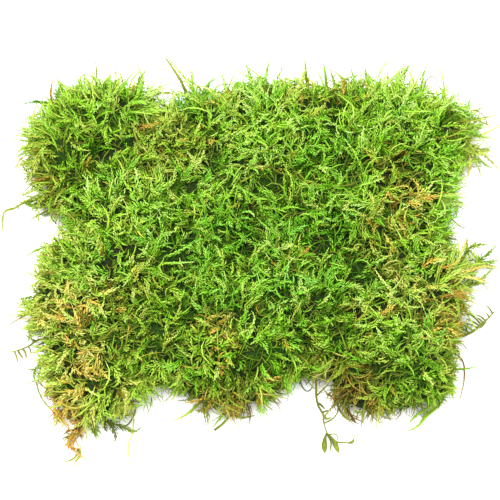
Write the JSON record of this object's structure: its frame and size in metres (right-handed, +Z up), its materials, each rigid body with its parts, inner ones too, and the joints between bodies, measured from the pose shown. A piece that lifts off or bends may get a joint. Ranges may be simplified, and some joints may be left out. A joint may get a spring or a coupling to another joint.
{
  "type": "moss clump",
  "caption": "Clump of living feather moss: a torn flat-lying sheet of tufted green shoots on brown thatch, with loose shoots at its ragged edge.",
  "frame": {"origin": "on the flat resting face under the sheet, near the middle of the sheet", "axes": "+X along the sheet's longer side, +Z up out of the resting face, -Y towards the front edge, where the trailing stem hangs out"},
  "size_m": [0.2474, 0.2102, 0.0385],
  "materials": {
    "living_moss": "bright yellow-green living moss, matte with a slight leaf sheen",
    "olive_stem": "olive-green stem and leaves, matte",
    "straw_moss": "straw-yellow dried moss, matte",
    "red_brown_stalk": "red-brown thin stalk, matte",
    "brown_thatch": "dark brown matted dead stems, matte"
  },
  "bodies": {
    "root": {"green_moss_mat": "living_moss", "brown_thatch": "brown_thatch", "runner_left": "olive_stem", "blade_left": "living_moss", "red_stalk_left": "red_brown_stalk", "comb_shoot_left": "olive_stem", "curved_stem_front_left": "olive_stem", "straw_shoot_front_left": "straw_moss", "dark_shoot_front_left": "living_moss", "pale_hair_front_left": "straw_moss", "straw_blade_front": "straw_moss", "green_blade_front": "living_moss", "trailing_stem_front": "olive_stem", "red_stalk_front": "red_brown_stalk", "green_blade_front_right": "living_moss", "feather_shoot_right": "olive_stem", "twig_right": "red_brown_stalk", "green_shoot_right": "living_moss", "tuft_shoot_right": "living_moss", "hooked_hair_right": "red_brown_stalk", "hair_back_right": "red_brown_stalk", "arched_hair_back_right": "olive_stem", "green_blade_back_right": "living_moss", "spike_back_middle": "living_moss", "spike_back_right": "living_moss", "long_blade_back_left": "living_moss", "green_blade_back_left": "living_moss", "curled_hair_back_left": "red_brown_stalk", "hair_back_left": "olive_stem", "hair_corner_left": "red_brown_stalk"}
  },
  "joints": []
}
